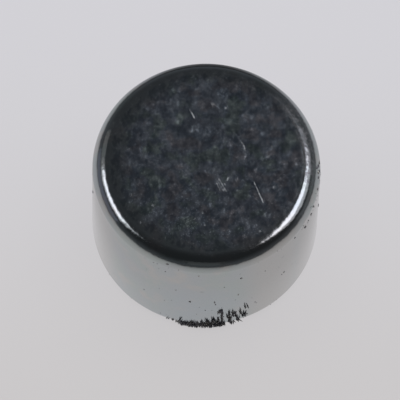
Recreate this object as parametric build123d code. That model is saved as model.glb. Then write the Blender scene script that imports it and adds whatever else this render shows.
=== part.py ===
"""Cylindrical door magnet, plated all over, with rounded edges at both ends."""
from build123d import *
import os

# millimetres; +Z is the magnet's own axis, the origin is the centre of its bottom face
diameter = 10.0
height = 7.0
edge_radius = 0.75


def magnet_profile():
    """Half of the axial section: two flat faces, the side wall, and the rounded corners between them."""
    radius = diameter / 2
    section = Rectangle(radius, height, align=(Align.MIN, Align.MIN))
    rim_corners = section.vertices().group_by(Axis.X)[-1]
    return fillet(rim_corners, edge_radius)


def magnet():
    """The whole magnet is the section turned once around the axis."""
    section_plane = Plane.XZ
    return revolve(section_plane * magnet_profile(), axis=Axis.Z)


os.makedirs("parts", exist_ok=True)
export_step(magnet(), "parts/magnet.step")
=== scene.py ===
import math
from types import SimpleNamespace

import bmesh
import bpy
from mathutils import Matrix, Vector


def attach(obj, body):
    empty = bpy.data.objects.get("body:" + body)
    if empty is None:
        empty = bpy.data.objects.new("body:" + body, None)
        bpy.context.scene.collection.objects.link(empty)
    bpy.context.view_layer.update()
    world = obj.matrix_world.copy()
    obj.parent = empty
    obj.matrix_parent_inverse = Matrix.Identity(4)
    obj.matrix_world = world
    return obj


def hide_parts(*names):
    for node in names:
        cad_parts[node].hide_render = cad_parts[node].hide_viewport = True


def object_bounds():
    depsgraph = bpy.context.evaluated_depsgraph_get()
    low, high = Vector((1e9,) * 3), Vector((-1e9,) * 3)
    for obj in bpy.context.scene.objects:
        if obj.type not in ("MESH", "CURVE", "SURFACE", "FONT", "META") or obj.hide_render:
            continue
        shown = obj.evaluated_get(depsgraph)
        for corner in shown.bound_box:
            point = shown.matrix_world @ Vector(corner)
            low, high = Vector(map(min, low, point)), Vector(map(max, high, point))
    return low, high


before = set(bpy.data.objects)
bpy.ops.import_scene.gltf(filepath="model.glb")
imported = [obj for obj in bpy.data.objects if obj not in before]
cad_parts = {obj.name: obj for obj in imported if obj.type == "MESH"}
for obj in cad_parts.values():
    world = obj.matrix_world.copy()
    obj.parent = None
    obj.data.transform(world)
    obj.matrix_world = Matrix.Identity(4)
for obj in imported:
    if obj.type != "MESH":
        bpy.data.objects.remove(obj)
cadLow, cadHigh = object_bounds()
scene = bpy.context.scene
scene.view_settings.view_transform = "Standard"

mm = 0.001
magnet = {
    "radius": cadHigh.x,
    "height": cadHigh.z,
    "edge": 0.75 * mm,  # the rounding between faces and wall
}
print("frame loaded, magnet radius and height", magnet["radius"], magnet["height"])


class Wire:
    # one node output; arithmetic on it adds Math nodes to its tree

    def __init__(self, graph, socket):
        self.graph = graph
        self.socket = socket

    def __add__(self, other):
        return self.graph.math("ADD", self, other)

    def __radd__(self, other):
        return self.graph.math("ADD", other, self)

    def __sub__(self, other):
        return self.graph.math("SUBTRACT", self, other)

    def __rsub__(self, other):
        return self.graph.math("SUBTRACT", other, self)

    def __mul__(self, other):
        return self.graph.math("MULTIPLY", self, other)

    def __rmul__(self, other):
        return self.graph.math("MULTIPLY", other, self)

    def __truediv__(self, other):
        return self.graph.math("DIVIDE", self, other)

    def __rtruediv__(self, other):
        return self.graph.math("DIVIDE", other, self)


class Graph:
    # a shader or geometry tree; add() makes any node and gives the output asked for

    def __init__(self, tree):
        self.tree = tree

    def add(self, kind, settings=None, inputs=None, output=0):
        node = self.tree.nodes.new(kind)
        for name, value in (settings or {}).items():
            setattr(node, name, value)
        for key, value in (inputs or {}).items():
            socket = self.pick(node.inputs, key)
            if isinstance(value, Wire):
                self.tree.links.new(value.socket, socket)
            else:
                socket.default_value = value
        return Wire(self, self.pick(node.outputs, output)) if len(node.outputs) else node

    def pick(self, sockets, key):
        if isinstance(key, int):
            return sockets[key]
        return next(s for s in sockets if s.name == key and s.enabled)

    def math(self, operation, *values):
        return self.add("ShaderNodeMath", {"operation": operation}, dict(enumerate(values)))

    def vector(self, operation, *values):
        return self.add("ShaderNodeVectorMath", {"operation": operation}, dict(enumerate(values)))

    def scaled(self, vector, factor):
        return self.add("ShaderNodeVectorMath", {"operation": "SCALE"}, {0: vector, "Scale": factor})

    def combine(self, x, y, z):
        return self.add("ShaderNodeCombineXYZ", None, {0: x, 1: y, 2: z})

    def split(self, vector):
        return [self.add("ShaderNodeSeparateXYZ", None, {0: vector}, axis) for axis in "XYZ"]

    def ease(self, value, start, end, low=0.0, high=1.0):
        # smooth step from low at start to high at end, level outside
        return self.add("ShaderNodeMapRange", {"interpolation_type": "SMOOTHSTEP"},
                        {"Value": value, "From Min": start, "From Max": end, "To Min": low, "To Max": high})

    def random(self, low, high, seed):
        return self.add("FunctionNodeRandomValue", None, {2: low, 3: high, "Seed": seed}, 1)

    def distance(self, x, y):
        return self.math("SQRT", x * x + y * y)

    def noise(self, vector, scale, detail=2.0, roughness=0.5):
        return self.add("ShaderNodeTexNoise", None,
                        {"Vector": vector, "Scale": scale, "Detail": detail, "Roughness": roughness}, "Fac")

    def clouds(self, vector, kind):
        # noise that is nothing below one level and full above the next
        scale, detail, roughness, start, full = kind
        return self.ease(self.noise(vector, scale, detail, roughness), start, full)

    def mixColour(self, factor, first, second, blend="MIX"):
        return self.add("ShaderNodeMix", {"data_type": "RGBA", "blend_type": blend},
                        {"Factor": factor, "A": first, "B": second}, "Result")


def newMaterial(name):
    material = bpy.data.materials.new(name)
    material.use_nodes = True
    material.node_tree.nodes.clear()
    return material, Graph(material.node_tree)


def newGeometryTree(name, inputs):
    tree = bpy.data.node_groups.new(name, "GeometryNodeTree")
    tree.interface.new_socket("Geometry", in_out="OUTPUT", socket_type="NodeSocketGeometry")
    for label, kind in inputs.items():
        tree.interface.new_socket(label, in_out="INPUT", socket_type="NodeSocket" + kind)
    entry = tree.nodes.new("NodeGroupInput")
    graph = Graph(tree)
    return graph, {label: Wire(graph, graph.pick(entry.outputs, label)) for label in inputs}


def closeTree(graph, geometry, material):
    real = graph.add("GeometryNodeRealizeInstances", None, {"Geometry": geometry})
    painted = graph.add("GeometryNodeSetMaterial", None, {"Geometry": real, "Material": material})
    graph.add("NodeGroupOutput", None, {"Geometry": painted})
    return graph.tree


def growMesh(name, tree, values):
    # runs a geometry tree once and keeps its result as a plain mesh
    holder = bpy.data.objects.new(name, bpy.data.meshes.new(name))
    scene.collection.objects.link(holder)
    modifier = holder.modifiers.new("grow", "NODES")
    modifier.node_group = tree
    for item in tree.interface.items_tree:
        if item.in_out == "INPUT":
            modifier[item.identifier] = values[item.name]
    depsgraph = bpy.context.evaluated_depsgraph_get()
    mesh = bpy.data.meshes.new_from_object(holder.evaluated_get(depsgraph))
    bpy.data.objects.remove(holder)
    return mesh


def showPiece(name, meshes):
    # joins the meshes into one piece that rides on the magnet
    joined = bmesh.new()
    for mesh in meshes:
        joined.from_mesh(mesh)
    for face in joined.faces:
        face.material_index = 0
        face.smooth = True
    whole = bpy.data.meshes.new(name)
    joined.to_mesh(whole)
    joined.free()
    whole.materials.append(meshes[0].materials[-1])  # the tree leaves an empty slot before it
    piece = bpy.data.objects.new(name, whole)
    scene.collection.objects.link(piece)
    return piece


# finish of the plating, and reflection painted on its wall

plating = {
    "colour": (0.575, 0.61, 0.625, 1),
    "patchColour": (0.56, 0.615, 0.60, 1),
    # clouds: how many per mm, detail, roughness, then the levels of the noise where they start and are full
    "patches": (0.55, 3.0, 0.5, 0.35, 0.7),
    "roughness": 0.13,
    "grainHeight": 0.0012 * mm,
    "rimWaves": (2.6, 2.0, 9.0),  # unevenness of the roundings: per mm, detail, and height in grain heights
    # grains: cells per mm, reach of a grain in cells, how rare strong ones are, and strength
    "spots": [(1.1, 0.16, 3.0, 1.0), (2.3, 0.15, 8.0, 1.0)],  # faint dull spots all over
    "spotColour": (0.42, 0.45, 0.46, 1),
    # the wall is warm here and there; a lighter warm patch and lighter warm sides are painted reflection, and
    # a cool tint low on its front is painted reflection too
    "wall": {
        "warmAndSheenColour": (0.625, 0.625, 0.61, 1),
        "warmShift": (7.0, 3.0, 1.0),
        "warmClouds": (1.1, 3.0, 0.5, 0.48, 0.72),
        "paintedSheenAngle": 40,  # of the patch of painted reflection, in degrees from the front
        "paintedSheenReach": (26, 6),  # degrees around it, from where it starts to where it is full
        "paintedSheenSides": (44, 62, 100, 130),  # painted sheen at the sides, in degrees off the front: starts, is full, fades, is gone
        "coolReflectionColour": (0.555, 0.61, 0.645, 1),
        "coolReflectionShare": 0.6,
        "coolReflectionReach": (30, 8),  # of the painted cool reflection, in degrees off the front
        "coolReflectionLevels": (0.7, 0.4),  # from up here down to here, in shares of the height
    },
    # dull grey haze on the end faces: fine grains in soft clumps, a little off the middle
    "haze": {
        "centre": (0.26, 0.02),  # mm
        "radius": 4.50,
        "fade": 1.0,
        "ragged": (1.3, 3.0, 0.9),  # its outline: clouds per mm, detail, and how far it wanders in mm
        "outside": 0.10,  # what is left of it outside
        "slant": (0.98, 0.022, 0.036),  # strength in the middle, and more per mm to the right and to the back
        "veil": 0.075,  # strength without grains
        "clumps": (1.7, 3.0, 0.65, 0.36, 0.66),
        "clumpVeil": 0.24,
        "grains": [(3.8, 0.50, 1.1, 0.70), (6.6, 0.48, 1.6, 0.55), (5.4, 0.32, 8.0, 0.80)],
        "stretch": (1.2, 0.8, 1.0),  # draws the grains out from front to back
        "fine": (7.0, 2.0, 0.7),
        "fineLevels": (0.40, 0.70),
        "fineShare": 0.08,
        "grainShare": (0.39, 0.80),  # of the grains between the clumps, and more on a clump
        "pits": [(2.1, 0.40, 1.0, 1.0), (3.1, 0.36, 1.6, 1.0)],
        "inPits": 0.1,  # what is left of the haze in the deepest pits
        "blue": (0.514, 0.577, 0.681, 1),
        "brown": (0.583, 0.573, 0.632, 1),
        "green": (0.509, 0.607, 0.597, 1),
        "hue": (1.2, 2.0),  # clouds per mm and detail
        "hueShift": (1.0, 6.0, 2.0),
        "blueLevels": (0.37, 0.48),
        "greenLevels": (0.53, 0.65),
        "hueShare": 0.8,
        "shadeColour": (0.62, 0.66, 0.70, 1),  # what its darker spots leave of the colour
        "shadeClouds": (3.2, 2.0, 0.65, 0.42, 0.60),
        "shadeSpots": [(5.8, 0.40, 4.0, 2.2)],
        "shadeShare": 0.88,
        "roughness": 0.10,  # added to the metal's own where the haze is full
        "matt": 0.15,  # how much of the metal's gloss it takes there
    },
    # a stretch of the rounding is dull and pitted, and the edge of the face is worn off beside it
    "worn": {
        "colour": (0.36, 0.37, 0.39, 1),
        "angles": (72, 87, 118, 142),  # degrees from the front to the right: starts, is full, fades, is gone
        "levels": (0.32, 0.18),  # from here up to here, in edge radii below the top
        "pits": (6.0, 2.0, 0.7, 0.42, 0.60),
        "betweenPits": 0.15,
        "colourFull": 0.6,  # strength at which the colour is full
        "roughness": 0.12,
        "matt": 0.18,
        "edgeAngles": (36, 60, 96, 118),
        "edgeSlope": 6.0,  # grain heights
    },
    "scratches": {
        "colour": (0.60, 0.63, 0.66, 1),
        "colourFull": 0.3,
        "roughness": 0.30,
        "matt": 0.42,
        "depth": 2.0,  # grain heights
        "breaks": (6.0, 1.0, 0.5, 0.4, 0.6),
        "atBreaks": 0.6,
        # start x, start y, end x, end y and half width in mm on the top face, then strength and bow
        "strokes": [
            (-0.87, 2.58, -0.60, 2.10, 0.024, 0.40, 0.0),
            (-0.77, 2.42, -0.56, 2.01, 0.030, 1.0, 0.0),
            (1.44, 1.09, 1.68, 0.52, 0.028, 0.55, 0.05),
            (1.08, 1.55, 1.66, 0.10, 0.028, 0.14, 0.16),
            (0.50, -0.68, 0.94, -1.46, 0.033, 0.48, 0.0),
            (0.47, -0.84, 0.84, -1.44, 0.022, 0.36, 0.0),
            (0.42, -0.88, 0.67, -1.44, 0.026, 0.42, 0.0),
            (0.45, -0.76, 0.79, -1.44, 0.120, 0.09, 0.0),
            (0.98, -0.66, 0.91, -0.91, 0.036, 1.1, 0.0),
            (0.80, -0.96, 0.86, -1.12, 0.030, 0.6, 0.0),
            (2.05, -0.78, 2.57, -1.93, 0.028, 0.55, 0.0),
            (2.28, -1.30, 2.55, -1.90, 0.030, 0.85, 0.0),
            (-1.75, -3.75, -1.40, -3.20, 0.024, 0.12, 0.0),
            (-1.38, 3.02, -0.92, 2.96, 0.024, 0.15, 0.0),
            (0.10, 2.95, 0.22, 2.55, 0.030, 0.25, 0.0),
            (-2.30, -0.60, -2.05, -1.40, 0.026, 0.12, 0.1),
        ],
        # x, y and radius in mm of the dull dots on the top face, then strength
        "dots": [
            (0.76, 2.62, 0.07, 0.45), (2.68, 0.34, 0.10, 0.28), (2.83, 0.83, 0.06, 0.3),
            (2.98, -1.10, 0.13, 0.22), (-2.28, -2.15, 0.08, 0.4), (2.42, -3.22, 0.06, 0.5),
            (-2.78, -2.99, 0.05, 0.4), (-0.10, -2.45, 0.05, 0.35), (0.02, -3.02, 0.05, 0.4),
            (-0.42, -2.72, 0.04, 0.35), (0.55, 1.55, 0.05, 0.25), (-0.75, 1.42, 0.08, 0.2),
        ],
    },
}


def magnetPlaces(graph):
    # where a point of the magnet lies, in mm and degrees from the front, and soft masks of the faces and
    # roundings; the small numbers are the mm over which one part passes into the next
    radius, height, edge = (magnet[key] / mm for key in ("radius", "height", "edge"))
    spot = graph.scaled(graph.add("ShaderNodeTexCoord", None, None, "Object"), 1 / mm)
    x, y, z = graph.split(spot)
    fromAxis = graph.distance(x, y)
    fromMiddle = graph.math("ABSOLUTE", z - height / 2)
    flat, straight = radius - edge, height / 2 - edge
    return SimpleNamespace(
        spot=spot, x=x, y=y, z=z, fromAxis=fromAxis, height=height, edge=edge, flat=flat,
        turn=graph.math("ARCTAN2", x, -1.0 * y) * (180 / math.pi),
        onFace=graph.ease(fromMiddle, height / 2 - 0.10, height / 2 - 0.02),
        onTop=graph.ease(z, height - 0.04, height - 0.01),
        onWall=graph.ease(z, height - edge + 0.1, height - edge - 0.1),
        onRounding=(graph.ease(fromAxis, flat - 0.05, flat + 0.1)
                    * graph.ease(fromMiddle, straight - 0.1, straight + 0.1)))


def stretchMask(graph, turn, angles):
    starts, full, fades, gone = angles
    return graph.ease(turn, starts, full) * graph.ease(turn, gone, fades)


def grainMask(graph, spot, layers):
    # one soft grain of random strength in each cell, layer upon layer
    total = 0.0
    for perMm, reach, rarity, strength in layers:
        away = graph.add("ShaderNodeTexVoronoi", None, {"Vector": spot, "Scale": perMm}, "Distance")
        chance = graph.split(Wire(graph, away.socket.node.outputs["Color"]))[0]
        total = total + graph.ease(away, reach, 0.0) * graph.math("POWER", chance, rarity) * strength
    return total


def strokeMask(graph, x, y, startX, startY, endX, endY, halfWidth, strength, bow):
    # one on the line of a scratch, fading at its sides and ends
    length = math.hypot(endX - startX, endY - startY)
    alongX, alongY = (endX - startX) / length, (endY - startY) / length
    along = x * alongX + y * alongY - (startX * alongX + startY * alongY)
    across = y * alongX - x * alongY - (startY * alongX - startX * alongY)
    if bow:
        across = across - along * (length - along) * (4 * bow / length ** 2)
    side = graph.ease(graph.math("ABSOLUTE", across), halfWidth, halfWidth * 0.3)
    fade = min(0.15, length * 0.4)
    ends = graph.ease(along, 0.0, fade) * graph.ease(along, length, length - fade)
    return side * ends * strength


def dotMask(graph, x, y, centreX, centreY, radius, strength):
    return graph.ease(graph.distance(x - centreX, y - centreY), radius, radius * 0.3) * strength


def tintWallAndPaintSheen(graph, at, colour):
    wall = plating["wall"]
    warmAndSheen = graph.clouds(graph.vector("ADD", at.spot, wall["warmShift"]), wall["warmClouds"])
    # painted reflection: a lighter warm patch at one angle, and lighter warm sides
    fromSheenPatch = graph.math("ABSOLUTE", at.turn - wall["paintedSheenAngle"])
    warmAndSheen = graph.math("MAXIMUM", warmAndSheen, graph.ease(fromSheenPatch, *wall["paintedSheenReach"]))
    offFront = graph.math("ABSOLUTE", at.turn)
    warmAndSheen = graph.math("MAXIMUM", warmAndSheen, at.onWall * stretchMask(graph, offFront, wall["paintedSheenSides"]))
    colour = graph.mixColour(warmAndSheen, colour, wall["warmAndSheenColour"])
    # painted reflection: a cool tint low on the front
    high, low = (at.height * share for share in wall["coolReflectionLevels"])
    coolReflection = at.onWall * graph.ease(offFront, *wall["coolReflectionReach"]) * graph.ease(at.z, high, low)
    return graph.mixColour(coolReflection * wall["coolReflectionShare"], colour, wall["coolReflectionColour"])


def hazeFaces(graph, at, colour):
    # gives the new colour, how strong the haze is, and its relief
    haze = plating["haze"]
    centreX, centreY = haze["centre"]
    perMm, detail, wander = haze["ragged"]
    fromCentre = graph.distance(at.x - centreX, at.y - centreY)
    ragged = graph.noise(at.spot, perMm, detail) * wander - wander / 2
    area = at.onFace * graph.ease(fromCentre + ragged, haze["radius"], haze["radius"] - haze["fade"],
                                  haze["outside"], 1.0)

    clumps = graph.clouds(at.spot, haze["clumps"])
    tall = graph.vector("MULTIPLY", at.spot, haze["stretch"])
    fine = graph.noise(tall, *haze["fine"])
    grains = (grainMask(graph, tall, haze["grains"])
              + graph.ease(fine, *haze["fineLevels"]) * haze["fineShare"])
    between, onClump = haze["grainShare"]
    middle, toRight, toBack = haze["slant"]
    amount = haze["veil"] + clumps * haze["clumpVeil"] + grains * (clumps * onClump + between)
    amount = amount * (middle + at.x * toRight + at.y * toBack) * area
    amount = amount * graph.math("MAXIMUM", 1.0 - grainMask(graph, at.spot, haze["pits"]), haze["inPits"])

    hue = graph.noise(graph.vector("ADD", at.spot, haze["hueShift"]), *haze["hue"])
    hazeColour = graph.mixColour(graph.ease(hue, *haze["blueLevels"]), haze["brown"], haze["blue"])
    hazeColour = graph.mixColour(graph.ease(hue, *haze["greenLevels"]), hazeColour, haze["green"])
    colour = graph.mixColour(area * haze["hueShare"], colour, hazeColour)
    shade = graph.math("MAXIMUM", graph.clouds(tall, haze["shadeClouds"]),
                       grainMask(graph, at.spot, haze["shadeSpots"]))
    shade = shade * at.onFace * graph.ease(at.fromAxis, at.flat + 0.08, at.flat - 0.08)
    colour = graph.mixColour(shade * haze["shadeShare"], colour, haze["shadeColour"], "MULTIPLY")
    return colour, amount, fine * area


def wearRounding(graph, at, colour):
    # gives the new colour, how worn it is, and how far the edge of the face is worn off
    worn = plating["worn"]
    slope = graph.ease(at.fromAxis, at.flat - 0.10, at.flat + 0.05)
    slope = slope * graph.ease(at.z, at.height * 0.3, at.height * 0.7)  # upper end only
    slope = slope * stretchMask(graph, at.turn, worn["edgeAngles"])

    low, high = (at.height - at.edge * share for share in worn["levels"])
    amount = stretchMask(graph, at.turn, worn["angles"]) * graph.ease(at.z, low, high)
    amount = amount * graph.ease(at.fromAxis, at.flat - 0.15, at.flat + 0.1)
    between = worn["betweenPits"]
    amount = amount * (between + (1.0 - between) * graph.clouds(at.spot, worn["pits"]))
    colour = graph.mixColour(graph.ease(amount, 0.0, worn["colourFull"]), colour, worn["colour"])
    return colour, amount, slope * worn["edgeSlope"]


def scratchTop(graph, at):
    scratches = plating["scratches"]
    masks = [strokeMask(graph, at.x, at.y, *stroke) for stroke in scratches["strokes"]]
    masks += [dotMask(graph, at.x, at.y, *dot) for dot in scratches["dots"]]
    amount = masks[0]
    for mask in masks[1:]:
        amount = graph.math("MAXIMUM", amount, mask)
    atBreaks = scratches["atBreaks"]
    return amount * at.onTop * (atBreaks + (1.0 - atBreaks) * graph.clouds(at.spot, scratches["breaks"]))


def platingMaterial():
    material, graph = newMaterial("brightPlating")
    at = magnetPlaces(graph)
    colour = graph.mixColour(graph.clouds(at.spot, plating["patches"]), plating["colour"],
                             plating["patchColour"])
    colour = tintWallAndPaintSheen(graph, at, colour)
    colour, haze, hazeRelief = hazeFaces(graph, at, colour)
    colour, worn, wornOff = wearRounding(graph, at, colour)
    spots = grainMask(graph, at.spot, plating["spots"]) * (1.0 - at.onFace)
    colour = graph.mixColour(spots, colour, plating["spotColour"])
    scratches = scratchTop(graph, at)
    colour = graph.mixColour(graph.ease(scratches, 0.0, plating["scratches"]["colourFull"]), colour,
                             plating["scratches"]["colour"])

    roughness, metallic = plating["roughness"], 1.0
    for finish, amount in (("haze", haze), ("worn", worn), ("scratches", scratches)):
        roughness = roughness + amount * plating[finish]["roughness"]
        metallic = metallic - amount * plating[finish]["matt"]
    perMm, detail, high = plating["rimWaves"]
    waves = graph.noise(at.spot, perMm, detail) * at.onRounding * high
    relief = hazeRelief + worn + waves - scratches * plating["scratches"]["depth"] - wornOff
    normal = graph.add("ShaderNodeBump", None,
                       {"Strength": 1.0, "Distance": plating["grainHeight"], "Height": relief})
    metal = graph.add("ShaderNodeBsdfPrincipled", None, {
        "Base Color": colour, "Metallic": metallic, "Roughness": roughness, "Normal": normal})
    graph.add("ShaderNodeOutputMaterial", None, {"Surface": metal})
    return material


# body of the magnet

magnetBody = {
    "Rows": 180,  # rings from pole to pole
    "Segments": 360,
    "Corner Points": 24,
    "Wave Height": 0.003 * mm,  # unevenness of the plating
    "Wave Size": 0.6 * mm,
}


def magnetTree():
    graph, given = newGeometryTree("turnedMagnet", {
        "Radius": "Float", "Height": "Float", "Edge Radius": "Float", "Corner Points": "Int", "Rows": "Int",
        "Segments": "Int", "Wave Height": "Float", "Wave Size": "Float", "Material": "Material"})
    # the axial section as an open line from the bottom's middle to the top's
    outline = graph.add("GeometryNodeCurvePrimitiveQuadrilateral", {"mode": "POINTS"}, {
        "Point 1": (0.0, 0.0, 0.0),
        "Point 2": graph.combine(given["Radius"], 0.0, 0.0),
        "Point 3": graph.combine(given["Radius"], 0.0, given["Height"]),
        "Point 4": graph.combine(0.0, 0.0, given["Height"])})
    outline = graph.add("GeometryNodeSetSplineCyclic", None, {"Geometry": outline, "Cyclic": False})
    outline = graph.add("GeometryNodeFilletCurve", {"mode": "POLY"}, {
        "Curve": outline, "Count": given["Corner Points"], "Radius": given["Edge Radius"]})
    outline = graph.add("GeometryNodeResampleCurve", None, {"Curve": outline, "Count": given["Rows"]})

    # a sheet whose rows become the rings of the section, wound around the axis and closed along its seam
    sheet = graph.add("GeometryNodeMeshGrid", None, {
        "Size X": 1.0, "Size Y": 1.0, "Vertices X": given["Segments"] + 1, "Vertices Y": given["Rows"]})
    place = graph.add("GeometryNodeInputPosition")
    column, row, _ = graph.split(place)
    turn = (column + 0.5) * (2 * math.pi)
    ring = graph.add("GeometryNodeSampleIndex", {"data_type": "FLOAT_VECTOR"}, {
        "Geometry": outline, "Value": place, "Index": (row + 0.5) * (given["Rows"] - 1) + 0.5})
    reach, _, level = graph.split(ring)
    x, y = reach * graph.math("COSINE", turn), reach * graph.math("SINE", turn)
    turned = graph.add("GeometryNodeSetPosition", None, {
        "Geometry": sheet, "Position": graph.combine(x, y, level)})
    closed = graph.add("GeometryNodeMergeByDistance", None, {"Geometry": turned, "Distance": 1e-7})

    waves = graph.noise(place, 1.0 / given["Wave Size"], 2.0)
    inward = graph.scaled(graph.add("GeometryNodeInputNormal"), waves * given["Wave Height"] * -1.0)
    uneven = graph.add("GeometryNodeSetPosition", None, {"Geometry": closed, "Offset": inward})
    return closeTree(graph, uneven, given["Material"])


body = showPiece("magnetBody", [growMesh("turned", magnetTree(), {
    "Radius": magnet["radius"], "Height": magnet["height"], "Edge Radius": magnet["edge"],
    "Material": platingMaterial(), **magnetBody})])
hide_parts("magnet")
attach(body, "root")
print("magnet body", len(body.data.polygons), "faces")

# iron filings and iron dust that the magnet has caught

filings = {
    "Thickness": 0.052 * mm,
    "Bend": 0.9,  # how far a needle curves over, in its own thicknesses
    "sides": 5,
    "segments": 3,
    "root": 0.5,  # radii of the two ends, in thicknesses
    "tip": 0.22,
    "widths": (0.6, 1.3),  # from thin to thick, in thicknesses
    "lifts": (0.4, 1.2),  # from flat to steep, in shares of the tuft's rise
    "lowest": 0.003 * mm,  # no needle reaches below this level
    # angles from the front in degrees, levels in mm, count, shortest and longest in mm, then how steeply they
    # rise, their lean to the right and how much they sway
    "tufts": [
        (-19.0, -12.0, 0.40, 0.62, 12, 0.06, 0.12, 0.3, 0.8, 0.5),
        (-11.6, -10.8, 0.30, 0.78, 12, 0.12, 0.20, 0.9, 0.1, 0.4),
        (-11.0, -5.0, 0.12, 0.60, 120, 0.10, 0.19, 0.2, 0.3, 0.5),
        (-6.0, 4.0, 0.08, 0.56, 220, 0.10, 0.21, 0.2, 0.0, 0.5),
        (-2.0, 4.5, 0.02, 0.20, 60, 0.12, 0.22, 0.1, 0.0, 0.5),
        (4.0, 11.0, 0.14, 0.56, 120, 0.10, 0.20, 0.3, -0.1, 0.5),
        (-6.0, 8.0, 0.56, 0.70, 22, 0.10, 0.18, 1.6, -0.5, 0.4),
        (0.4, 1.2, 0.60, 0.85, 4, 0.16, 0.24, 3.0, -0.9, 0.2),
        (2.5, 4.2, 0.56, 0.88, 15, 0.16, 0.26, 3.0, -0.8, 0.2),
        (5.4, 7.0, 0.56, 1.00, 22, 0.18, 0.28, 3.0, -0.5, 0.15),
        (8.2, 9.3, 0.56, 1.02, 17, 0.18, 0.26, 3.0, -0.4, 0.15),
        (9.9, 10.9, 0.30, 1.42, 32, 0.16, 0.24, 3.2, 0.0, 0.15),
        (8.2, 8.7, 1.82, 1.86, 6, 0.06, 0.10, 0.2, 0.4, 0.3),
        (8.6, 9.2, 1.91, 1.95, 6, 0.06, 0.10, 0.2, 0.4, 0.3),
        (9.1, 10.0, 1.98, 2.02, 8, 0.06, 0.10, 0.2, 0.2, 0.3),
        (10.0, 10.7, 1.76, 1.92, 8, 0.07, 0.11, 0.2, 0.0, 0.3),
        (10.0, 10.7, 1.30, 1.85, 14, 0.10, 0.17, 0.8, 0.0, 0.3),
        (11.0, 11.9, 0.20, 0.60, 12, 0.10, 0.18, 0.9, 0.2, 0.3),
        (12.7, 13.3, 0.95, 1.60, 4, 0.14, 0.24, 3.0, 0.0, 0.15),
        (13.7, 14.4, 0.55, 1.55, 12, 0.18, 0.30, 3.0, 0.1, 0.15),
        (15.4, 16.4, 1.05, 1.62, 9, 0.14, 0.24, 3.0, 0.2, 0.2),
        (16.8, 17.7, 1.00, 1.35, 7, 0.14, 0.24, 3.0, 0.3, 0.2),
        (13.4, 15.0, 0.70, 1.20, 10, 0.14, 0.24, 1.4, 0.1, 0.3),
        (13.6, 15.4, 0.25, 0.70, 8, 0.12, 0.20, 0.9, 0.1, 0.3),
        (14.8, 17.0, 0.05, 0.45, 9, 0.10, 0.18, 0.5, 0.1, 0.4),
        (18.0, 19.4, 0.40, 0.95, 12, 0.14, 0.24, 1.6, 0.2, 0.3),
        (20.0, 20.6, 0.80, 1.60, 7, 0.14, 0.26, 3.2, -0.2, 0.15),
        (20.8, 23.2, 0.85, 1.10, 8, 0.12, 0.18, 1.0, 0.6, 0.3),
        (22.3, 22.7, 1.62, 1.90, 4, 0.16, 0.22, 3.0, -0.3, 0.15),
        (23.7, 24.3, 1.62, 1.82, 5, 0.12, 0.17, 2.0, 0.1, 0.2),
    ],
}

grain = {
    "lumps": 2.2,  # per grain
    "shift": 1.7,  # moves the lumps from one seed to the next, so that every speck has its own
    "hollow": 0.45,  # radius in a hollow, and how much more on a lump
    "lump": 1.1,
    "flat": 0.45,  # how thick a grain lies on the wall, in its widths
    "bandTall": 1.3,  # how tall the grains of a band are, in their widths
    "speckSeed": 300,
    "bandSeed": 700,
}
# grains and smears of iron dust; the powder is so fine that it looks pale
dust = {
    # angle from the front in degrees, level, width and height in mm
    "specks": [
        (-6.1, 3.0, 0.11, 0.15), (61.9, 5.64, 0.15, 0.15), (65.1, 5.78, 0.08, 0.06),
        (68.4, 5.9, 0.11, 0.08), (71.1, 6.24, 0.12, 0.09), (79.8, 6.46, 0.11, 0.07),
        (-82.0, 4.9, 0.10, 0.15), (85.5, 6.58, 0.13, 0.08), (88.2, 6.62, 0.17, 0.10),
        (90.2, 6.72, 0.16, 0.09), (91.8, 6.62, 0.15, 0.09), (89.6, 6.52, 0.13, 0.10),
        (94.0, 6.52, 0.12, 0.10), (19.7, 5.2, 0.11, 0.10), (-19.2, 5.7, 0.06, 0.08),
        (1.8, 2.15, 0.05, 0.10), (6.9, 2.75, 0.055, 0.14), (-18.3, 6.50, 0.14, 0.08),
    ],
    # angles, levels, count and grain size in mm of dust that lies in bands
    "bands": [
        (60, 100, 5.9, 6.55, 16, 0.025, 0.05),
        (-30, -12, 6.1, 6.45, 4, 0.02, 0.05),
    ],
}
powder = {
    "specks": [
        (6.4, 3.0, 0.07, 0.26), (18.5, 3.44, 0.075, 0.17), (-2.0, 5.95, 0.08, 0.12),
        (45.5, 3.25, 0.10, 0.12), (44.0, 3.18, 0.06, 0.10), (52.5, 6.02, 0.10, 0.08),
        (87.0, 3.3, 0.14, 0.26), (-13.5, 4.0, 0.06, 0.10), (11.0, 4.6, 0.06, 0.07),
        (33.0, 4.9, 0.07, 0.07), (-31.0, 2.6, 0.06, 0.07), (28.0, 1.9, 0.07, 0.09),
    ],
    "bands": [
        (-150, 150, 6.10, 6.40, 18, 0.02, 0.05),
        (58, 100, 5.6, 6.55, 30, 0.025, 0.06),
        (-180, 180, 0.1, 0.7, 44, 0.02, 0.05),
        (-22, 30, 0.2, 2.6, 18, 0.02, 0.045),
        (-60, 60, 2.6, 6.0, 9, 0.02, 0.045),
    ],
}


def wallSpot(graph, angle, level, radius, height, edge):
    # a point of the side wall or its roundings and the outward direction there; angle from the front
    above = graph.math("MAXIMUM", level - (height - edge), 0.0)
    below = graph.math("MAXIMUM", edge - level, 0.0)
    slope = (above - below) / edge
    reach = graph.math("SQRT", graph.math("MAXIMUM", 1.0 - slope * slope, 0.0))
    sideways, forward = graph.math("SINE", angle), graph.math("COSINE", angle) * -1.0
    rim = radius - edge + edge * reach
    return (graph.combine(sideways * rim, forward * rim, level),
            graph.combine(sideways * reach, forward * reach, slope))


wallInputs = {"Radius": "Float", "Height": "Float", "Edge Radius": "Float", "From Angle": "Float",
              "To Angle": "Float", "Low": "Float", "High": "Float", "Count": "Int"}
wallValues = {"Radius": magnet["radius"], "Height": magnet["height"], "Edge Radius": magnet["edge"]}


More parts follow.
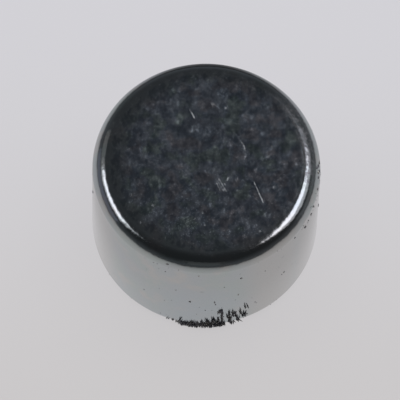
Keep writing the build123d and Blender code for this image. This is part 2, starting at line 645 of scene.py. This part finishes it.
def scatter(graph, given, shape, turn, size):
    # copies of a shape on random points of the wall; turn() and size give each its pose
    points = graph.add("GeometryNodePoints", None, {"Count": given["Count"]})
    angle = graph.random(given["From Angle"], given["To Angle"], given["Seed"])
    level = graph.random(given["Low"], given["High"], given["Seed"] + 1)
    spot, outward = wallSpot(graph, angle, level, given["Radius"], given["Height"], given["Edge Radius"])
    placed = graph.add("GeometryNodeSetPosition", None, {"Geometry": points, "Position": spot})
    return graph.add("GeometryNodeInstanceOnPoints", None, {
        "Points": placed, "Instance": shape, "Rotation": turn(angle, level, outward), "Scale": size})


def filingTree():
    graph, given = newGeometryTree("ironFilings", {
        **wallInputs, "Shortest": "Float", "Longest": "Float", "Thickness": "Float", "Bend": "Float",
        "Rise": "Float", "Lean": "Float", "Sway": "Float", "Seed": "Int", "Material": "Material"})
    needle = graph.add("GeometryNodeMeshCone", None, {
        "Vertices": filings["sides"], "Side Segments": filings["segments"], "Radius Top": filings["tip"],
        "Radius Bottom": filings["root"], "Depth": 1.0})
    along = graph.split(graph.add("GeometryNodeInputPosition"))[2]
    bent = graph.add("GeometryNodeSetPosition", None, {
        "Geometry": needle, "Offset": graph.combine(along * along * given["Bend"], 0.0, 0.0)})
    length = graph.random(given["Shortest"], given["Longest"], given["Seed"] + 2)
    width = given["Thickness"] * graph.random(*filings["widths"], given["Seed"] + 3)

    def turn(angle, level, outward):
        sway = graph.random(-1.0, 1.0, given["Seed"] + 4) * given["Sway"] + given["Lean"]
        lift = graph.random(*filings["lifts"], given["Seed"] + 5) * given["Rise"]
        aim = graph.vector("ADD", outward, graph.combine(
            graph.math("COSINE", angle) * sway, graph.math("SINE", angle) * sway, lift))
        x, y, z = graph.split(graph.vector("NORMALIZE", aim))
        floor = (level - given["Thickness"] * 0.6) / length * -0.9  # points no lower, or it meets the table
        spin = graph.add("FunctionNodeEulerToRotation", None, {
            "Euler": graph.combine(0.0, 0.0, graph.random(0.0, 2 * math.pi, given["Seed"] + 6))})
        return graph.add("FunctionNodeAlignRotationToVector", {"axis": "Z"}, {
            "Rotation": spin, "Vector": graph.combine(x, y, graph.math("MAXIMUM", z, floor))})

    grown = scatter(graph, given, bent, turn, graph.combine(width, width, length))
    real = graph.add("GeometryNodeRealizeInstances", None, {"Geometry": grown})
    x, y, z = graph.split(graph.add("GeometryNodeInputPosition"))
    settled = graph.add("GeometryNodeSetPosition", None, {
        "Geometry": real, "Position": graph.combine(x, y, graph.math("MAXIMUM", z, filings["lowest"]))})
    return closeTree(graph, settled, given["Material"])


def dustTree():
    graph, given = newGeometryTree("ironDust", {
        **wallInputs, "Smallest": "Float", "Largest": "Float", "Tall": "Float", "Seed": "Int",
        "Material": "Material"})
    chip = graph.add("GeometryNodeMeshIcoSphere", None, {"Radius": 0.5, "Subdivisions": 2})
    place = graph.add("GeometryNodeInputPosition")
    shifted = graph.vector("ADD", place, graph.combine(given["Seed"] * grain["shift"], 0.0, 0.0))
    lumps = graph.noise(shifted, grain["lumps"], 1.0)
    lumpy = graph.add("GeometryNodeSetPosition", None, {
        "Geometry": chip, "Position": graph.scaled(place, grain["hollow"] + lumps * grain["lump"])})
    size = graph.random(given["Smallest"], given["Largest"], given["Seed"] + 2)

    def turn(angle, level, outward):
        flat = graph.add("FunctionNodeAlignRotationToVector", {"axis": "Z"}, {"Vector": outward})
        return graph.add("FunctionNodeAlignRotationToVector", {"axis": "Y", "pivot_axis": "Z"}, {
            "Rotation": flat, "Vector": (0.0, 0.0, 1.0)})

    laid = scatter(graph, given, lumpy, turn,
                   graph.combine(size, size * given["Tall"], size * grain["flat"]))
    return closeTree(graph, laid, given["Material"])


iron = {
    "darkColours": ((0.15, 0.145, 0.165, 1), (0.25, 0.235, 0.19, 1)),  # bare and rusty
    "paleColours": ((0.30, 0.31, 0.33, 1), (0.38, 0.37, 0.34, 1)),
    "glintColour": (0.50, 0.50, 0.47, 1),  # here and there a painted glint: a lighter cell that stands in for a needle catching the light
    "glintCells": 11.0,  # places for one, per mm
    "glintLevels": (0.88, 0.94),
    "rust": (5.0, 3.0, 0.5, 0.45, 0.75),
    "grit": 30.0,  # per mm
    "gritHeight": 0.004 * mm,
    "metallic": 0.3,
    "roughness": (0.42, 0.3, -0.1),  # smoothest, more on the grit, and less on a painted glint
}


def ironMaterial(name, bareColour, rustColour):
    material, graph = newMaterial(name)
    spot = graph.scaled(graph.add("ShaderNodeTexCoord", None, None, "Object"), 1 / mm)
    grit = graph.noise(spot, iron["grit"], 2.0)
    # painted glints: a few lighter cells, which are also a little smoother
    cell = graph.add("ShaderNodeTexVoronoi", None, {"Vector": spot, "Scale": iron["glintCells"]}, "Color")
    glint = graph.ease(graph.split(cell)[0], *iron["glintLevels"])
    colour = graph.mixColour(graph.clouds(spot, iron["rust"]), bareColour, rustColour)
    colour = graph.mixColour(glint, colour, iron["glintColour"])
    smooth, onGrit, onGlint = iron["roughness"]
    normal = graph.add("ShaderNodeBump", None,
                       {"Strength": 1.0, "Distance": iron["gritHeight"], "Height": grit})
    shader = graph.add("ShaderNodeBsdfPrincipled", None, {
        "Base Color": colour, "Metallic": iron["metallic"],
        "Roughness": smooth + grit * onGrit + glint * onGlint, "Normal": normal})
    graph.add("ShaderNodeOutputMaterial", None, {"Surface": shader})
    return material


def growFilings(tree, material):
    meshes = []
    for seed, tuft in enumerate(filings["tufts"]):
        fromAngle, toAngle, low, high, count, shortest, longest, rise, lean, sway = tuft
        meshes.append(growMesh("tuft", tree, {
            **wallValues, "From Angle": math.radians(fromAngle), "To Angle": math.radians(toAngle),
            "Low": low * mm, "High": high * mm, "Count": count, "Shortest": shortest * mm,
            "Longest": longest * mm, "Rise": rise, "Lean": lean, "Sway": sway,
            "Thickness": filings["Thickness"], "Bend": filings["Bend"], "Seed": seed * 10,
            "Material": material}))
    return showPiece("ironFilings", meshes)


def growDust(name, grains, tree, material):
    meshes = []
    for seed, (angle, level, width, tall) in enumerate(grains["specks"]):
        meshes.append(growMesh("speck", tree, {
            **wallValues, "From Angle": math.radians(angle), "To Angle": math.radians(angle),
            "Low": level * mm, "High": level * mm, "Count": 1, "Smallest": width * mm, "Largest": width * mm,
            "Tall": tall / width, "Seed": grain["speckSeed"] + seed * 10, "Material": material}))
    for seed, (fromAngle, toAngle, low, high, count, smallest, largest) in enumerate(grains["bands"]):
        meshes.append(growMesh("band", tree, {
            **wallValues, "From Angle": math.radians(fromAngle), "To Angle": math.radians(toAngle),
            "Low": low * mm, "High": high * mm, "Count": count, "Smallest": smallest * mm,
            "Largest": largest * mm, "Tall": grain["bandTall"], "Seed": grain["bandSeed"] + seed * 10,
            "Material": material}))
    return showPiece(name, meshes)


darkIron = ironMaterial("darkIron", *iron["darkColours"])
paleIron = ironMaterial("paleIron", *iron["paleColours"])
chips = dustTree()
for piece in (growFilings(filingTree(), darkIron), growDust("ironDust", dust, chips, darkIron),
              growDust("ironPowder", powder, chips, paleIron)):
    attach(piece, "root")
    print(piece.name, len(piece.data.polygons), "faces")

# table

table = {
    "nearColour": (0.600, 0.583, 0.587, 1),
    "farColour": (0.655, 0.648, 0.682, 1),
    "colourSpan": (-12, 12),  # mm behind the axis, from and to which the near colour turns into the far one, lighter and cooler: painted light
    "flatRadius": 300 * mm,
    "outerRadius": 420 * mm,
    "lip": 26 * mm,  # the far edge curls up, so that low views still end on it
    "lipRings": 12,
    "sides": 128,
    "glow": 0.88,  # share of the tone that keeps its level, as on a light table
    # what the magnet mirrors of it is a small sheet in a dark room: its tone at the wall, and the mm over
    # which that falls to a quarter, behind the magnet, in front of it, and how much more at its sides
    "mirrored": 0.79,
    "mirroredReach": (7.5, 95.0, 185.0),
    "mirroredFront": (1.0, 0.45),  # from straight behind, which is 1, to where the reach in front holds
    "mirroredSide": 0.025,  # lighter to the left by this share, darker to the right
    "mirroredNear": (0.08, 3.2),  # lighter close to it: by which share, within how many mm
    "mirroredBeside": (0.30, 1.4, 0.08),  # the same at its sides, and darker there by the last share
    "roomColour": (0.03, 0.03, 0.033, 1),
}


def tableMaterial():
    material, graph = newMaterial("paleTable")
    place = graph.add("ShaderNodeTexCoord", None, None, "Object")
    x, y, _ = graph.split(graph.scaled(place, 1 / mm))
    # painted light: the table turns lighter and cooler towards the back
    colour = graph.mixColour(graph.ease(y, *table["colourSpan"]), table["nearColour"], table["farColour"])

    away = graph.distance(x, y)
    gap = graph.math("MAXIMUM", away - magnet["radius"] / mm, 0.0)
    toRight, toBack = x / away, y / away
    sideways = toRight * toRight
    behind, before, beside = table["mirroredReach"]
    inFront = graph.ease(toBack, *table["mirroredFront"])
    reach = behind + (before - behind) * inFront + sideways * beside
    share, width = table["mirroredNear"]
    near = graph.math("MAXIMUM", 1.0 - gap / width, 0.0) * share
    share, width, less = table["mirroredBeside"]
    near = near + sideways * (graph.math("MAXIMUM", 1.0 - gap / width, 0.0) * share - less)
    fall = reach / (reach + gap)
    tone = table["mirrored"] * (1.0 - toRight * table["mirroredSide"] + near) * fall * fall

    camera, mirror, glass = (graph.add("ShaderNodeLightPath", None, None, ray)
                             for ray in ("Is Camera Ray", "Is Glossy Ray", "Is Transmission Ray"))
    seen = graph.math("MAXIMUM", graph.math("MAXIMUM", camera, mirror), glass)
    matt = graph.add("ShaderNodeBsdfDiffuse", None, {"Color": colour})
    glow = graph.add("ShaderNodeEmission", None, {"Color": colour, "Strength": 1.0})
    sheet = graph.add("ShaderNodeMixShader", None, {0: seen * table["glow"], 1: matt, 2: glow})
    dark = graph.add("ShaderNodeEmission", None, {"Color": table["roomColour"], "Strength": 1.0})
    faded = graph.add("ShaderNodeMixShader", None, {0: mirror * (1.0 - tone), 1: sheet, 2: dark})
    graph.add("ShaderNodeOutputMaterial", None, {"Surface": faded})
    return material


def makeTable():
    # a flat disc, and around it rings that rise to the lip
    sides, lipWidth = table["sides"], table["outerRadius"] - table["flatRadius"]
    turns = [2 * math.pi * k / sides for k in range(sides)]
    builder = bmesh.new()
    loops = []
    for ring in range(table["lipRings"] + 1):
        share = ring / table["lipRings"]
        reach, level = table["flatRadius"] + share * lipWidth, table["lip"] * share ** 2
        loops.append([builder.verts.new((reach * math.cos(turn), reach * math.sin(turn), level))
                      for turn in turns])
    builder.faces.new(loops[0])
    for inner, outer in zip(loops, loops[1:]):
        for k in range(sides):
            following = (k + 1) % sides
            builder.faces.new((inner[k], outer[k], outer[following], inner[following]))
    mesh = bpy.data.meshes.new("table")
    builder.to_mesh(mesh)
    builder.free()
    mesh.shade_smooth()
    mesh.materials.append(tableMaterial())
    piece = bpy.data.objects.new("table", mesh)
    scene.collection.objects.link(piece)


makeTable()

# light: a broad soft lamp overhead, which the metal doesn't mirror, and soft strips and cards that it does,
# in a dim room; azimuth 0 is the far side and 90 the right

lamps = {
    # azimuth, elevation and roll in degrees, width and height in metres, radiance, colour, seen in the metal
    "rightCore": (67, 61.4, -3, 0.84, 0.41, 1.1, (0.97, 0.955, 1.03), True),
    "rightHalo": (72, 54.5, -3, 1.00, 0.84, 0.41, (0.97, 0.955, 1.03), True),
    "rightGlow": (66, 57, -3, 1.26, 0.84, 0.08, (1, 1, 1), True),
    "leftCore": (-83, 47, 7, 0.74, 0.31, 1.1, (0.97, 0.955, 1.03), True),
    "leftHalo": (-86, 45.5, 6, 0.96, 0.62, 0.46, (0.97, 0.955, 1.03), True),
    "leftGlow": (-62, 40, 7, 0.80, 0.68, 0.09, (1, 1, 1), True),
    "leftCard": (-84, 14, 0, 1.3, 0.62, 0.075, (0.95, 0.95, 1.25), True),
    "rightCard": (80, 16, 0, 1.0, 0.56, 0.045, (1, 1, 1), True),
    "frontCard": (180, 25, 0, 0.66, 0.56, 0.03, (1, 1, 1), True),
    "overhead": (0, 80, 0, 1.6, 1.6, 2.8, (1, 1, 1), False),
}
lampDistance = 1.5
room = {
    "colour": (0.84, 0.90, 1.0, 1),
    "front": 0.020,
    "back": 0.039,
    "backSpan": (-0.3, 0.35),  # where the front's tone ends and the back's begins, 1 being straight back
    "horizon": 0.045,  # added near the horizon
    "horizonSpan": (0.65, 0.05),  # from this far up, 1 being overhead, down to here
}


def addLamp(name, azimuth, elevation, roll, width, height, radiance, colour, mirrored):
    data = bpy.data.lights.new(name + "Lamp", "AREA")
    data.shape = "RECTANGLE"
    data.size, data.size_y = width, height
    data.energy = math.pi * radiance * width * height
    data.color = colour
    azimuth, elevation = math.radians(azimuth), math.radians(elevation)
    towards = Vector((math.sin(azimuth) * math.cos(elevation), math.cos(azimuth) * math.cos(elevation),
                      math.sin(elevation)))
    holder = bpy.data.objects.new(name + "Lamp", data)
    turned = towards.to_track_quat("Z", "Y").to_matrix().to_4x4()
    holder.matrix_world = (Matrix.Translation(towards * lampDistance) @ turned
                           @ Matrix.Rotation(math.radians(roll), 4, "Z"))
    holder.visible_glossy = mirrored
    scene.collection.objects.link(holder)


def lightRoom():
    scene.world = bpy.data.worlds.new("dimRoom")
    scene.world.use_nodes = True
    scene.world.node_tree.nodes.clear()
    graph = Graph(scene.world.node_tree)
    x, y, z = graph.split(graph.add("ShaderNodeTexCoord", None, None, "Generated"))
    tone = (room["front"] + graph.ease(y, *room["backSpan"]) * (room["back"] - room["front"])
            + graph.ease(z, *room["horizonSpan"]) * room["horizon"])
    sky = graph.add("ShaderNodeBackground", None, {"Color": room["colour"], "Strength": tone})
    graph.add("ShaderNodeOutputWorld", None, {"Surface": sky})


for name, lamp in lamps.items():
    addLamp(name, *lamp)
lightRoom()
print("table and lamps placed")

# camera

view = {
    "elevation": 66.3,
    "roll": 1.9,  # the photograph leans clockwise
    "distance": 308.2 * mm,
    "frameWidth": 17.6662 * mm,  # what the frame spans at the magnet
    "aside": -0.2375 * mm,  # aim off the magnet's middle, to the right and up in the frame
    "above": -0.2672 * mm,
    "clip": (1 * mm, 3.0),
}


def makeCamera():
    elevation = math.radians(view["elevation"])
    right = Vector((1, 0, 0))
    back = Vector((0, -math.cos(elevation), math.sin(elevation)))
    up = back.cross(right)
    data = bpy.data.cameras.new("camera")
    data.lens = data.sensor_width * view["distance"] / view["frameWidth"]
    camera = bpy.data.objects.new("camera", data)
    aim = (cadLow + cadHigh) / 2 + right * view["aside"] + up * view["above"]
    facing = Matrix((right, up, back)).transposed().to_4x4()
    camera.matrix_world = (Matrix.Translation(aim + back * view["distance"]) @ facing
                           @ Matrix.Rotation(math.radians(view["roll"]), 4, "Z"))
    data.clip_start, data.clip_end = view["clip"]
    scene.collection.objects.link(camera)
    scene.camera = camera


makeCamera()
